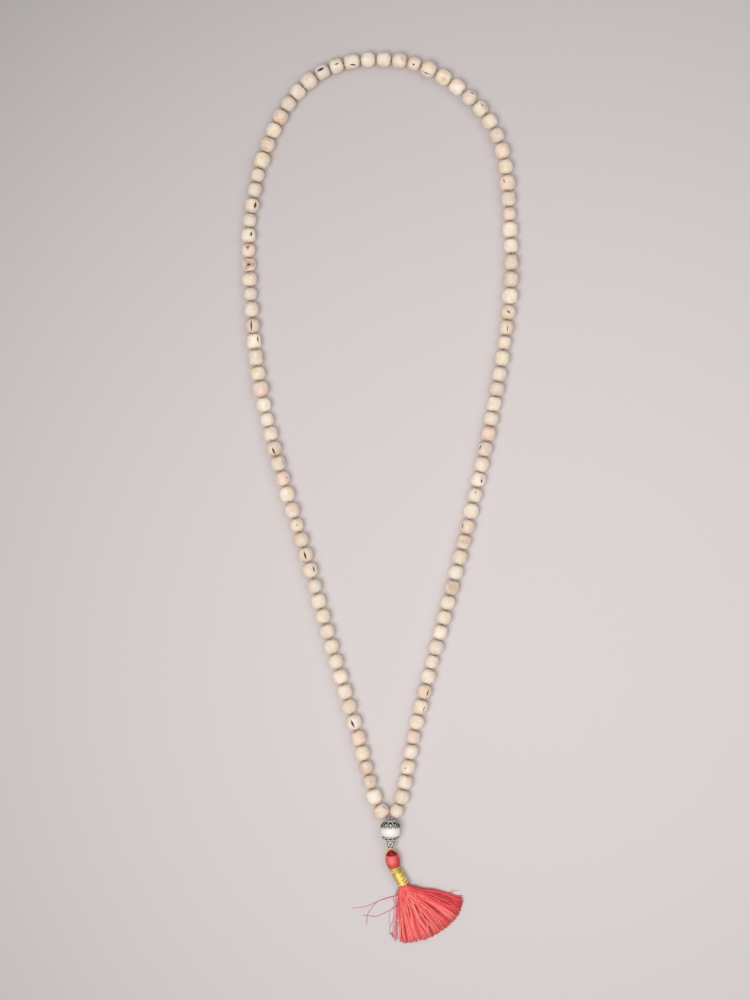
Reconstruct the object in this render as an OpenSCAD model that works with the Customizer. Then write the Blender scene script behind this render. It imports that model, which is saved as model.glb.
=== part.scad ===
// Tassel necklace: a string of 108 wooden beads, a capped guru bead and a silk tassel, lying flat.
// The table is the plane z = 0. X runs to the right, Y from the tassel towards the top of the loop.

/* [Wooden beads] */
// Nominal diameter of a wooden bead
bead_d = 8; // [6:0.5:10]
// Beads on the whole string, half of them on each side
bead_count = 108; // [80:2:108]
// Bare thread between two neighbouring beads
bead_gap = 0.58; // [0.4:0.02:1]
// Bare thread between the guru bead's top cap and the first bead on the left
lead_left = 2.5; // [2.2:0.1:4]
// Bare thread between the guru bead's top cap and the first bead on the right
lead_right = 1.8; // [1.7:0.1:4]

/* [Thread] */
// Diameter of the thread through the beads
thread_d = 0.9; // [0.6:0.1:1.1]
// Room between the thread and a drilled hole, all round
thread_clear = 0.45; // [0.35:0.05:0.6]

/* [Guru bead and caps] */
// Diameter of the white guru bead
guru_d = 10; // [8:0.5:12]
// Wall of the pierced silver caps
cap_wall = 0.5; // [0.4:0.05:0.8]
// Gap between a cap and the guru bead
cap_clear = 0.15; // [0.1:0.05:0.3]
// Petals round each cap
cap_petals = 10; // [8:1:12]
// Latitude on the guru bead where the top cap's petals end, in degrees
cap_top_rim = 18; // [10:1:30]
// Latitude on the guru bead where the bottom cap's petals end, in degrees
cap_bottom_rim = 36; // [30:1:45]
// Length of the small tip cap under the guru bead
tip_len = 3.5; // [3:0.1:6]
// Outer diameter of the tip cap at its wide top
tip_top_d = 4.4; // [4:0.1:5.5]
// Outer diameter of the tip cap at its mouth
tip_mouth_d = 3.3; // [3.2:0.1:4]
// Wall of the tip cap
tip_wall = 0.4; // [0.3:0.05:0.5]
// Petals round the tip cap
tip_petals = 6; // [5:1:8]

/* [Tassel] */
// Diameter of the gold cord that hangs the tassel
cord_d = 0.7; // [0.5:0.1:0.9]
// Length of the folded satin head
head_len = 8.4; // [7:0.2:11]
// Width of the folded satin head
head_w = 7.2; // [5.8:0.2:8]
// Lean of the head to the right of straight down, in degrees
head_lean = 10; // [0:0.5:20]
// Length of the gold thread wrap
wrap_len = 10.2; // [8:0.2:14]
// Outer diameter of the gold thread wrap
wrap_d = 5.8; // [5:0.2:7]
// Wall of the gold thread wrap
wrap_wall = 0.6; // [0.4:0.1:0.8]
// Bands of turns that show on the wrap
wrap_bands = 12; // [8:1:20]
// Lean of the wrap to the right of straight down, in degrees
wrap_lean = 29; // [20:1:35]
// Length of the fringe from the wrap's end to its tips
fringe_len = 30.4; // [22:0.2:38]
// Spread of the fringe to the left of the wrap's line, in degrees
fan_left = 32; // [20:1:40]
// Spread of the fringe to the right of the wrap's line, in degrees
fan_right = 48; // [30:1:55]
// Height of the pile of fringe at its tips
fringe_rise = 3.6; // [3:0.2:5]

/* [Hidden] */
$fn = 48;

// Small gap that keeps neighbouring pieces of the tassel apart
seat_gap = 0.2;
// Gap between two strands that run side by side
twin_gap = 0.12;
// Gap all round the knot in the mouth of the tip cap
knot_clear = 0.05;
// How far a cutter reaches past the face that it has to clear
over = 0.5;
// The thread runs straight to this share of a bead's length on each side of its middle
thread_straight = 0.47;

// Kinds of hand-turned bead, as shares of bead_d:
// letter, length along the string, girth, diameter of the ball that rounds the ends
bead_kinds = [
  ["r", 0.93, 0.97, 0.99],
  ["l", 1.00, 1.06, 1.08],
  ["s", 0.85, 0.89, 0.92],
  ["b", 0.92, 0.94, 1.04],
  ["t", 0.86, 0.99, 1.02],
  ["w", 1.03, 0.95, 1.10],
  ["o", 1.00, 0.98, 1.04]];
// The beads in their order, a row of twelve to a line, from the left of the guru bead over the top
bead_chart = str(
  "rossrrorbrrr",
  "rrbrorrsoorb",
  "rtsrltwbrost",
  "ssrsrrslrrtr",
  "tlrtwrrrsloo",
  "rrrrorlbsobw",
  "olrbsortbtrr",
  "rrrorbrrrrtr",
  "rsrrrrsrrtrs");

// Route of the string, from the top cap's mouth up the left side and down the right side
route = [
  [0, 0], [-4.7, 4], [-8.5, 12], [-12.5, 26.5], [-18.5, 49], [-30, 87.5], [-43.5, 135.5],
  [-57.5, 182], [-67, 223], [-71, 260], [-72.5, 296], [-70.5, 314], [-67.5, 329.5],
  [-62.5, 344.5], [-55.5, 359.5], [-46, 372.5], [-34, 381.5], [-19.5, 386.5], [-3.5, 387.5],
  [12, 385.5], [27, 378.5], [41, 367.5], [51, 355.5], [57, 341], [59.5, 325.5], [61, 301],
  [61.5, 275], [57.5, 238.5], [48.5, 190], [37.5, 142], [25.5, 96], [13.5, 50], [9, 27],
  [6, 12], [3.1, 4], [0, 0]];
route_steps = 8;

// Rings of holes in a petal cap: height above the rim in widths of a petal's hole, turn as a share
// of a petal, and diameter as a share of a petal's hole
cap_rings = [
  [0.95, 0.0, 1.00],
  [0.05, 0.5, 0.75],
  [2.50, 0.5, 0.60]];
// Width of a petal's hole as a share of the petal
cap_hole = 0.5;
// Slot in each petal of the tip cap: width as a share of the petal, start and length as shares of tip_len
tip_slot = [0.45, 0.32, 0.45];

// Hollow at the top of the satin head: place along it as a share of head_len, height of its centre
// above the head's middle as a share of head_w / 2, and diameter as a share of head_w
head_hollow = [0.17, 0.75, 0.62];
// Radius of the satin head along its length, as shares of head_w / 2
head_shape = [0.18, 0.53, 0.75, 0.88, 0.95, 0.99, 1.00, 0.99, 0.94, 0.85];
// Where along the head the legs of the cord have their points, as shares of head_len
leg_points = [0.12, 0.18, 0.24, 0.3, 0.36, 0.44, 0.54, 0.64, 0.74, 0.84, 0.92];
// How far round the head's underside the legs tuck, in degrees, and where along it they are fully tucked
leg_tuck = 45;
tuck_full = 0.4;
// Half the stretch over which the head's slope is taken, as a share of head_len
slope_step = 0.06;
// How far the head's neck and the fringe's core reach into the wrap, as shares of wrap_len
neck_share = 0.35;
core_share = 0.3;
// The core's far end among the locks: its reach as a share of the bundle's radius, and its taper
core_end = [1.35, 0.8];
// Radius of a band of turns as a share of its width, and the part of the wrap's wall under the bands
band_round = 0.62;
band_base = 0.75;

// Locks of the fringe, a row for each layer: number of locks, start height as a share of the
// bundle's radius, tip height as a share of fringe_rise, reach as a share of fringe_len and
// spread as a share of the fan
lock_rows = [
  [13, -0.70, 0.00, 1.000, 1.00],
  [12, 0.00, 0.45, 0.995, 0.93],
  [11, 0.70, 0.80, 0.975, 0.86]];
// Uneven cut of the tips, as shares of a lock's reach
lock_cut = [1, 0.975, 0.99, 0.965, 0.985];
// Half width of a lock along its length, as shares of the bundle's radius
lock_halves = [0.30, 0.42, 0.46, 0.42, 0.28];
lock_last = len(lock_halves) - 1;
// Height of a lock as a share of its width
lock_flat = 0.72;
// A lock's way out of the wrap: turns of the outermost ones on the left and right in degrees, and
// length as a share of fringe_len
lock_out = [-66, 12, 0.15];
// Bow of a lock: turns of the outermost ones on the left and right in degrees, and place as a share
// of fringe_len
lock_bow = [-6, 13, 0.47];
// How far down the slope a lock is where it leaves the wrap and at its bow, as shares
lock_drop = [0.15, 0.6];
// Reach of the fringe from its left edge to its right, as shares of fringe_len
fan_reach = [1, 1, 1.01, 1.03, 1.07, 1.04];
// How far the outer locks of a layer start below its middle ones, as a share
lock_round = 0.8;
lock_fn = 8;

function dir(angle) = [cos(angle), sin(angle)];
function mix(a, b, t) = a + (b - a) * t;
function bezier(a, b, c, d, t) =
  mix(mix(mix(a, b, t), mix(b, c, t), t), mix(mix(b, c, t), mix(c, d, t), t), t);
function sum_to(v, n, i = 0, s = 0) = i >= n ? s : sum_to(v, n, i + 1, s + v[i]);
function spline(a, b, c, d, t) =
  0.5 * (2 * b + (c - a) * t + (2 * a - 5 * b + 4 * c - d) * t * t
         + (3 * b - a - 3 * c + d) * t * t * t);

// The route as drawn, and where along it each of its points lies
route_last = len(route) - 1;
path = [for (i = [0 : route_last - 1], k = [0 : route_steps - 1])
          spline(route[max(i - 1, 0)], route[i], route[i + 1], route[min(i + 2, route_last)],
                 k / route_steps),
        route[route_last]];
path_steps = [for (i = [1 : len(path) - 1]) norm(path[i] - path[i - 1])];
path_at = [for (i = 0, s = 0; i < len(path); s = s + (i < len(path_steps) ? path_steps[i] : 0),
           i = i + 1) s];
path_len = path_at[len(path_at) - 1];
path_x = [for (i = [0 : len(path) - 1]) [path_at[i], path[i].x]];
path_y = [for (i = [0 : len(path) - 1]) [path_at[i], path[i].y]];

// Every bead's length, girth and ball, and its place along the string
bead_sizes = [for (i = [0 : bead_count - 1])
                bead_d * [for (c = [1 : 3])
                            bead_kinds[search(bead_chart[i], bead_kinds)[0]][c]]];
bead_lens = [for (b = bead_sizes) b[0]];
string_len = lead_left + lead_right + sum_to(bead_lens, bead_count) + (bead_count - 1) * bead_gap;
string_scale = string_len / path_len;
bead_at = [for (i = 0, s = lead_left; i < bead_count;
                s = s + bead_lens[i] + bead_gap, i = i + 1) s + bead_lens[i] / 2];

// Guru bead and caps, from the centre of the guru bead outwards
cap_in = guru_d / 2 + cap_clear;
cap_out = cap_in + cap_wall;
guru_z = max(cap_out * cos(cap_top_rim), bead_d / 2);
strand_x = (thread_d + twin_gap) / 2;
guru_bore = 2 * (strand_x + thread_d / 2 + thread_clear);
bead_bore = thread_d + 2 * thread_clear;
tip_y = -sqrt(pow(cap_out, 2) - pow(tip_top_d / 2 - tip_wall, 2)) - seat_gap;
knot_d = tip_mouth_d - 2 * tip_wall - 2 * knot_clear;
knot_y = tip_y - knot_d / 2 - seat_gap;
cord_top = knot_y - knot_d / 2 + cord_d / 4;
mouth = [0, cap_out];

// Place and heading on the string at a length s along it
function at(s) = mouth + string_scale * [lookup(s / string_scale, path_x),
                                         lookup(s / string_scale, path_y)];
function heading(s) = let (v = at(s + bead_d / 8) - at(s - bead_d / 8)) atan2(v.y, v.x);

bead_places = [for (s = bead_at) at(s)];
bead_turns = [for (s = bead_at) heading(s)];

// Tassel, from the head down to the fringe
head_dir = dir(head_lean - 90);
wrap_dir = dir(wrap_lean - 90);
head_start = [0, tip_y - tip_len - cord_d - seat_gap];
head_end = head_start + head_len * head_dir;
wrap_start = head_end + (wrap_d / 2 * sin(wrap_lean - head_lean) + seat_gap) * wrap_dir;
wrap_end = wrap_start + wrap_len * wrap_dir;
head_z = head_w / 2;
wrap_z = wrap_d / 2;
wrap_bore = wrap_d - 2 * wrap_wall;
neck_d = wrap_bore - 2 * seat_gap;
bundle_r = wrap_d / 2;
function head_r(f) =
  head_w / 2 * lookup(f * (len(head_shape) - 1),
                      [for (i = [0 : len(head_shape) - 1]) [i, head_shape[i]]]);
function head_slope(f) =
  (head_r(f + slope_step) - head_r(f - slope_step)) / (2 * slope_step * head_len);

// The origin is under the middle of the whole necklace
left_x = min([for (i = [0 : bead_count - 1]) bead_places[i].x - bead_sizes[i][1] / 2]);
right_x = max([for (i = [0 : bead_count - 1]) bead_places[i].x + bead_sizes[i][1] / 2]);
top_y = max([for (i = [0 : bead_count - 1]) bead_places[i].y + bead_sizes[i][1] / 2]);
bottom_y = wrap_end.y - fringe_len;
home = -[left_x + right_x, top_y + bottom_y] / 2;

// Round tube through 3-D points, one ring at each point
module tube(points, r, sides) {
  n = len(points);
  rings = [for (i = [0 : n - 1])
    let (v = points[min(i + 1, n - 1)] - points[max(i - 1, 0)],
         ahead = v / norm(v),
         side = cross(ahead, [0, 0, 1]) / norm(cross(ahead, [0, 0, 1])),
         up = cross(side, ahead))
    for (k = [0 : sides - 1])
      points[i] + r * (side * cos(360 * k / sides) + up * sin(360 * k / sides))];
  walls = [for (i = [0 : n - 2], k = [0 : sides - 1])
    let (a = i * sides + k, b = i * sides + (k + 1) % sides) each
      [[a, b, b + sides], [a, b + sides, a + sides]]];
  start_face = [for (k = [sides - 1 : -1 : 0]) k];
  end_face = [for (k = [0 : sides - 1]) (n - 1) * sides + k];
  polyhedron(rings, concat(walls, [start_face, end_face]));
}

// One drilled bead along Z, a ball cut to its length and girth
module bead(size) {
  difference() {
    intersection() {
      sphere(d = size[2]);
      cylinder(h = size[0], d = size[1], center = true);
    }
    cylinder(h = size[0] + 2 * over, d = bead_bore, center = true);
  }
}

module bead_run(first, last) {
  for (i = [first : last])
    translate([bead_places[i].x, bead_places[i].y, bead_sizes[i][1] / 2])
      rotate([0, 90, bead_turns[i]])
        bead(bead_sizes[i]);
}

module beads_left() {
  color("bisque")
    translate(home)
      bead_run(0, bead_count / 2 - 1);
}

module beads_right() {
  color("antiquewhite")
    translate(home)
      bead_run(bead_count / 2, bead_count - 1);
}

// The thread: two strands side by side in the guru bead, then through every bead
module thread() {
  below = knot_y + knot_d / 2 + seat_gap / 2;
  above = mouth.y + thread_d / 2;
  inner = [for (i = [0 : bead_count - 1], e = [-1, 1])
    let (p = bead_places[i] + e * thread_straight * bead_lens[i] * dir(bead_turns[i]))
      [p.x, p.y, bead_sizes[i][1] / 2]];
  points = concat(
    [[-strand_x, below, guru_z], [-strand_x, above, guru_z]],
    inner,
    [[strand_x, above, guru_z], [strand_x, below, guru_z]]);
  color("tan")
    translate(home)
      tube(points, thread_d / 2, 8);
}

// Turns a shape that stands on Z so that its top points along +Y at the guru bead's height
module along_y() {
  translate([home.x, home.y, guru_z])
    rotate([-90, 0, 0])
      children();
}

module guru_bead() {
  color("white")
    along_y()
      difference() {
        sphere(d = guru_d);
        cylinder(h = guru_d + 2 * over, d = guru_bore, center = true);
      }
}

// Pierced cap over the upper part of a ball, its petals ending at a latitude in degrees
module petal_cap(rim) {
  petal = 360 / cap_petals;
  hole_d = cap_hole * 2 * PI * cap_out * cos(rim) / cap_petals;
  hole_angle = hole_d / cap_out * 180 / PI;
  difference() {
    rotate_extrude()
      intersection() {
        difference() {
          circle(r = cap_out);
          circle(r = cap_in);
        }
        translate([guru_bore / 2, cap_out * sin(rim)])
          square(cap_out);
      }
    for (i = [0 : cap_petals - 1], ring = cap_rings)
      pierce(rim + ring[0] * hole_angle, (i + ring[1]) * petal, ring[2] * hole_d);
  }
}

// Round hole straight through a cap's wall
module pierce(latitude, turn, d) {
  rotate([0, 90 - latitude, turn])
    translate([0, 0, cap_in - over])
      cylinder(h = cap_wall + 2 * over, d = d, $fn = 24);
}

module cap_top() {
  color("silver")
    along_y()
      petal_cap(cap_top_rim);
}

module cap_bottom() {
  color("silver")
    along_y()
      mirror([0, 0, 1])
        petal_cap(cap_bottom_rim);
}

// Small flared cone with slots between its petals, wide end towards the guru bead
module tip_cap() {
  mouth_y = tip_y - tip_len;
  color("silver")
    along_y()
      difference() {
        rotate_extrude()
          polygon([[tip_mouth_d / 2 - tip_wall, mouth_y], [tip_mouth_d / 2, mouth_y],
                   [tip_top_d / 2, tip_y], [tip_top_d / 2 - tip_wall, tip_y]]);
        for (i = [0 : tip_petals - 1])
          rotate([0, 0, (i + 0.5) * 360 / tip_petals])
            translate([0, 0, mouth_y + tip_slot[1] * tip_len])
              rotate([0, 90, 0])
                slot(tip_slot[0] * PI * tip_mouth_d / tip_petals, tip_slot[2] * tip_len, tip_top_d);
      }
}

// Cutter with round ends, its length from the origin along -X and its depth along Z
module slot(width, length, depth) {
  linear_extrude(depth) {
    circle(d = width, $fn = 24);
    translate([-length, 0])
      circle(d = width, $fn = 24);
    translate([-length, -width / 2])
      square([length, width]);
  }
}

// Gold cord: a knot in the tip cap, and two legs that go down both flanks of the head
module hanging_cord() {
  leg_x = (cord_d + twin_gap) / 2;
  mouth_y = tip_y - tip_len;
  function leg(side) = [for (f = leg_points)
    let (off = head_r(f) + (cord_d + seat_gap) / 2 * sqrt(1 + pow(head_slope(f), 2)),
         lift = min((guru_z - head_z) * pow(1 - f, 4) / off, 1),
         rise = asin(lift) - leg_tuck * min(f / tuck_full, 1),
         p = head_start + f * head_len * head_dir + side * off * cos(rise) * [-head_dir.y, head_dir.x])
      [p.x, p.y, head_z + off * sin(rise)]];
  down = leg(-1);
  up = leg(1);
  points = concat(
    [for (i = [len(down) - 1 : -1 : 0]) down[i]],
    [[-leg_x, mouth_y, guru_z], [-leg_x, cord_top - leg_x, guru_z], [0, cord_top, guru_z],
     [leg_x, cord_top - leg_x, guru_z], [leg_x, mouth_y, guru_z]],
    up);
  color("orange")
    translate(home) {
      tube(points, cord_d / 2, 8);
      translate([0, knot_y, guru_z])
        sphere(d = knot_d);
    }
}

// Frame of the head: Z along the head, from its top down
module along(start, angle, height) {
  translate([home.x + start.x, home.y + start.y, height])
    rotate([0, 90, angle - 90])
      children();
}

module tassel_head() {
  last = len(head_shape) - 1;
  root_len = head_len / 4;
  color("tomato")
    difference() {
      union() {
        along(head_start, head_lean, head_z)
          rotate_extrude()
            polygon(concat([[0, 0]],
                           [for (i = [0 : last]) [head_w / 2 * head_shape[i], head_len * i / last]],
                           [[0, head_len]]));
        along(head_end - root_len * wrap_dir, wrap_lean, wrap_z)
          cylinder(h = root_len + neck_share * wrap_len, d = neck_d);
      }
      along(head_start, head_lean, head_z)
        translate([-head_hollow[1] * head_w / 2, 0, head_hollow[0] * head_len])
          sphere(d = head_hollow[2] * head_w);
    }
}

// Wound sleeve, each band of turns rounded
module gold_wrap() {
  pitch = wrap_len / wrap_bands;
  band_r = band_round * pitch;
  color("gold")
    along(wrap_start, wrap_lean, wrap_z)
      rotate_extrude()
        union() {
          translate([wrap_bore / 2, 0])
            square([band_base * wrap_wall, wrap_len]);
          intersection() {
            for (i = [0 : wrap_bands - 1])
              translate([wrap_d / 2 - band_r, (i + 0.5) * pitch])
                circle(r = band_r, $fn = 24);
            translate([wrap_bore / 2, 0])
              square([wrap_wall, wrap_len]);
          }
        }
}

// Turn of a lock, in step with that of the outermost one on its side
function outwards(u, turns) = abs(u) * (u < 0 ? turns[0] : turns[1]);

// A lock runs from the bundle at the wrap's end out to its tip in a bow, u from -1 to 1
function lock_point(u, row, reach, t) =
  let (fan = wrap_lean - 90 + mix(-fan_left, fan_right, (u + 1) / 2),
       out = wrap_lean - 90 + outwards(u, lock_out) * abs(u),
       r0 = bundle_r * lock_halves[0],
       side = [-wrap_dir.y, wrap_dir.x],
       far = lookup((u + 1) / 2 * (len(fan_reach) - 1),
                    [for (i = [0 : len(fan_reach) - 1]) [i, fan_reach[i]]]),
       a = wrap_end + (seat_gap + r0) * wrap_dir + u * (bundle_r - r0) * side,
       b = a + lock_out[2] * fringe_len * dir(out),
       c = wrap_end + lock_bow[2] * fringe_len * dir(fan + outwards(u, lock_bow)),
       d = wrap_end + (reach * far * fringe_len - bundle_r * lock_halves[lock_last]) * dir(fan),
       low = lock_flat * bundle_r * lock_halves[lock_last],
       za = wrap_z + row[1] * (bundle_r - r0) * sqrt(1 - lock_round * u * u),
       zd = low + row[2] * (fringe_rise - 2 * low),
       p = bezier(a, b, c, d, t),
       z = bezier(za, mix(za, zd, lock_drop[0]), mix(za, zd, lock_drop[1]), zd, t),
       half = lookup(t * lock_last, [for (k = [0 : lock_last]) [k, lock_halves[k]]]))
  [p.x, p.y, max(z, lock_flat * bundle_r * half)];

module lock(u, row, reach) {
  for (k = [0 : lock_last - 1])
    hull()
      for (j = [k, k + 1])
        translate(lock_point(u, row, reach, j / lock_last))
          scale([1, 1, lock_flat])
            sphere(r = bundle_r * lock_halves[j], $fn = lock_fn);
}

module fringe() {
  core_len = core_share * wrap_len;
  color("salmon")
    union() {
      along(wrap_end - core_len * wrap_dir, wrap_lean, wrap_z)
        cylinder(h = core_len + core_end[0] * bundle_r, d1 = neck_d, d2 = core_end[1] * neck_d, $fn = 16);
      translate(home)
        for (row = lock_rows, i = [0 : row[0] - 1])
          lock(row[4] * (2 * i / (row[0] - 1) - 1), row, row[3] * lock_cut[i % len(lock_cut)]);
    }
}

beads_left();
beads_right();
thread();
guru_bead();
cap_top();
cap_bottom();
tip_cap();
hanging_cord();
tassel_head();
gold_wrap();
fringe();
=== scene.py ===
import math
import random

import bmesh
import bpy
import numpy as np
from mathutils import Matrix, Vector, noise


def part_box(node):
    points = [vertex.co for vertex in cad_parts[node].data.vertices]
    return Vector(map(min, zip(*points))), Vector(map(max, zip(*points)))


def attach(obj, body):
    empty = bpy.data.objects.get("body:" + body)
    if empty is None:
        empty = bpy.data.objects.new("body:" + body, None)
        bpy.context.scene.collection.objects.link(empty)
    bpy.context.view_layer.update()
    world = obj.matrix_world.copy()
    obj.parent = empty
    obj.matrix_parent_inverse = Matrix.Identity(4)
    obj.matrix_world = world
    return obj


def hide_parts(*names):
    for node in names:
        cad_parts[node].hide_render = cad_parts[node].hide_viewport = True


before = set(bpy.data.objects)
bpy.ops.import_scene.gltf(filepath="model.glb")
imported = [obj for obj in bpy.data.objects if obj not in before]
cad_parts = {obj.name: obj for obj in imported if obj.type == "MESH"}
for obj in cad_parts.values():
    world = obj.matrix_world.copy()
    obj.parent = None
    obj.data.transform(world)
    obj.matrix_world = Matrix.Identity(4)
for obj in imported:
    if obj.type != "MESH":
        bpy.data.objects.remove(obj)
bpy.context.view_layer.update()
mm = 0.001  # shapes are worked out in millimetres and scaled once, when a piece is finished
up = Vector((0, 0, 1))
floor = 0.02  # the least height of a piece's points over the table
print("frame loaded:", sorted(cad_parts))


# Shader sums: a wrapped socket adds its own Math nodes

class Wire:
    def __init__(self, finish, socket):
        self.finish = finish
        self.socket = socket

    def __add__(self, other):
        return self.finish.sum("ADD", self, other)

    def __sub__(self, other):
        return self.finish.sum("SUBTRACT", self, other)

    def __rsub__(self, other):
        return self.finish.sum("SUBTRACT", other, self)

    def __mul__(self, other):
        return self.finish.sum("MULTIPLY", self, other)

    __radd__ = __add__
    __rmul__ = __mul__


class Finish:
    def __init__(self, name, constants):
        self.material = bpy.data.materials.new(name)
        self.material.use_nodes = True
        self.tree = self.material.node_tree
        self.shader = self.tree.nodes["Principled BSDF"]
        for socket, value in constants.items():
            self.shader.inputs[socket].default_value = value

    def plug(self, socket, value):
        if isinstance(value, Wire):
            self.tree.links.new(value.socket, socket)
        else:
            socket.default_value = value

    def node(self, kind, settings, inputs, out=0):
        made = self.tree.nodes.new("ShaderNode" + kind)
        for key, value in settings.items():
            setattr(made, key, value)
        for key, value in inputs.items():
            self.plug(made.inputs[key], value)
        return Wire(self, made.outputs[out])

    def sum(self, operation, a, b=0.0):
        return self.node("Math", {"operation": operation}, {0: a, 1: b})

    def blend(self, low, high, amount, way="MIX"):
        return self.node("Mix", {"data_type": "RGBA", "blend_type": way}, {0: amount, 6: low, 7: high}, 2)

    def shade(self, colour, amount):
        # a colour times a grey amount
        grey = self.node("CombineColor", {}, {0: amount, 1: amount, 2: amount})
        return self.blend(colour, grey, 1.0, "MULTIPLY")

    def ramp(self, value, low, high):
        # 0 below low and 1 above high, smoothly, also with low above high
        return self.node("MapRange", {"interpolation_type": "SMOOTHSTEP"}, {0: value, 1: low, 2: high})

    def noise(self, vector, scale, detail=3.0, rough=0.5, distortion=0.0):
        return self.node("TexNoise", {}, {"Vector": vector, "Scale": scale, "Detail": detail,
                                          "Roughness": rough, "Distortion": distortion})

    def stretch(self, vector, scale, shift=(0, 0, 0)):
        return self.node("Mapping", {}, {"Vector": vector, "Scale": scale, "Location": shift})

    def attribute(self, name, out=2):
        # out 0 is the colour, 1 the vector and 2 the factor
        return self.node("Attribute", {"attribute_name": name}, {}, out)

    def objectPlace(self):
        return self.node("TexCoord", {}, {}, 3)

    def bump(self, height, strength, distance):
        normal = self.node("Bump", {}, {"Height": height, "Strength": strength, "Distance": distance * mm})
        self.plug(self.shader.inputs["Normal"], normal)

    def colour(self, value):
        self.plug(self.shader.inputs["Base Color"], value)

    def roughness(self, value):
        self.plug(self.shader.inputs["Roughness"], value)


def tone(red, green, blue):
    # display values from 0 to 255 as a linear colour
    linear = [v / 255 / 12.92 if v <= 10 else ((v / 255 + 0.055) / 1.055) ** 2.4 for v in (red, green, blue)]
    return (*linear, 1.0)


# Shape helpers

def newObject(name, data):
    thing = bpy.data.objects.new(name, data)
    bpy.context.scene.collection.objects.link(thing)
    return thing


def finishPiece(name, work, finish, slot, *nodes):
    # a bmesh in millimetres becomes a smooth piece of the one body
    work.transform(Matrix.Scale(mm, 4))
    bmesh.ops.recalc_face_normals(work, faces=work.faces)
    mesh = bpy.data.meshes.new(name)
    work.to_mesh(mesh)
    work.free()
    mesh.polygons.foreach_set("use_smooth", [True] * len(mesh.polygons))
    mesh.materials.append(finish.material)
    piece = newObject(name, mesh)
    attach(piece, "root")
    if nodes:
        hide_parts(*nodes)
    print(f"{name}: {sum(len(p.vertices) - 2 for p in mesh.polygons)} triangles")


def sweep(name, runs, width, rounds=0, outline=None, twist=0.0, loop=False):
    # one tube along each run of (x, y, z) or (x, y, z, share of width), its vertices ring by ring
    curve = bpy.data.curves.new(name, "CURVE")
    curve.dimensions = "3D"
    shape = None
    if outline:
        section = bpy.data.curves.new(name, "CURVE")
        rim = section.splines.new("POLY")
        rim.points.add(len(outline) - 1)
        rim.use_cyclic_u = True
        for point, (x, y) in zip(rim.points, outline):
            point.co = (x * width / 2, y * width / 2, 0, 1)
        shape = bpy.data.objects.new(name, section)
        curve.bevel_mode = "OBJECT"
        curve.bevel_object = shape
    else:
        curve.bevel_depth = width / 2
        curve.bevel_resolution = rounds
    for run in runs:
        line = curve.splines.new("POLY")
        line.points.add(len(run) - 1)
        line.use_cyclic_u = loop
        for i, (point, place) in enumerate(zip(line.points, run)):
            point.co = (*place[:3], 1)
            point.radius = place[3] if len(place) > 3 else 1
            point.tilt = twist * i
    holder = newObject(name, curve)
    seen = holder.evaluated_get(bpy.context.evaluated_depsgraph_get())
    mesh = bpy.data.meshes.new_from_object(seen)
    work = bmesh.new()
    work.from_mesh(mesh)
    bpy.data.objects.remove(holder)
    if shape:
        bpy.data.objects.remove(shape)
    bmesh.ops.holes_fill(work, edges=[e for e in work.edges if e.is_boundary], sides=0)
    work.verts.ensure_lookup_table()
    return work


def fullTurn(steps):
    # the angles of a full turn in equal steps
    return [2 * math.pi * k / steps for k in range(steps)]


def lobed(look):
    # the section of a thread twisted from a few plies
    section = []
    for a in fullTurn(look["points"]):
        wide = 1 - look["depth"] + look["depth"] * math.cos(look["plies"] * a)
        section.append((wide * math.cos(a), wide * math.sin(a)))
    return section


def paintRuns(work, name, runs, values, rise=0.0):
    # one value for all the vertices of each run, which may rise towards its end
    layer = work.verts.layers.float.new(name)
    ring = len(work.verts) // sum(len(run) for run in runs)
    i = 0
    for run, value in zip(runs, values):
        for k in range(len(run) * ring):
            work.verts[i][layer] = value + rise * k / (len(run) * ring)
            i += 1


def merge(whole, part):
    mesh = bpy.data.meshes.new("part")
    part.to_mesh(mesh)
    part.free()
    whole.from_mesh(mesh)
    bpy.data.meshes.remove(mesh)


def turned(work, points, steps, axis=(0, 0, 1), closed=True):
    # a row of points, or a closed outline of them, turned once round the axis
    rim = [work.verts.new(point) for point in points]
    ahead = rim[1:] + rim[:1] if closed else rim[1:]
    lines = [work.edges.new(pair) for pair in zip(rim, ahead)]
    bmesh.ops.spin(work, geom=rim + lines, cent=(0, 0, 0), axis=axis, angle=2 * math.pi, steps=steps,
                   use_merge=True)


def poleToPole(start, steps):
    # the angles over a ball from the rim of its drilled hole to the other rim
    return [start + (math.pi - 2 * start) * k / steps for k in range(steps + 1)]


def clamp(value, low=0.0, high=1.0):
    return max(low, min(high, value))


def smooth(value, low, high):
    t = clamp((value - low) / (high - low))
    return t * t * (3 - 2 * t)


def onCurve(points, i, f):
    # a Catmull-Rom curve through points, at f of the way from point i to the next
    a, b = points[i], points[i + 1]
    before, after = points[max(i - 1, 0)], points[min(i + 2, len(points) - 1)]
    return 0.5 * (2 * a + (b - before) * f + (2 * before - 5 * a + 4 * b - after) * f * f
                  + (3 * a - before - 3 * b + after) * f ** 3)


# The frame's nodes, in millimetres

def corners(node):
    # a node's lowest and highest corners
    low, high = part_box(node)
    return low / mm, high / mm


def mainDirections(points):
    # the main directions of a cloud of points, the one along which they spread least first
    return np.linalg.eigh(np.cov(points.T))[1].T


# Where the beads sit

def looseParts(node):
    # the points of each loose solid of a node
    work = bmesh.new()
    work.from_mesh(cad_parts[node].data)
    bmesh.ops.remove_doubles(work, verts=work.verts, dist=1e-7)
    parts = []
    for seed in work.verts:
        if seed.tag:
            continue
        seed.tag = True
        group = [seed]
        for vert in group:
            for edge in vert.link_edges:
                other = edge.other_vert(vert)
                if not other.tag:
                    other.tag = True
                    group.append(other)
        parts.append(np.array([v.co for v in group]) / mm)
    work.free()
    return parts


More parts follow.
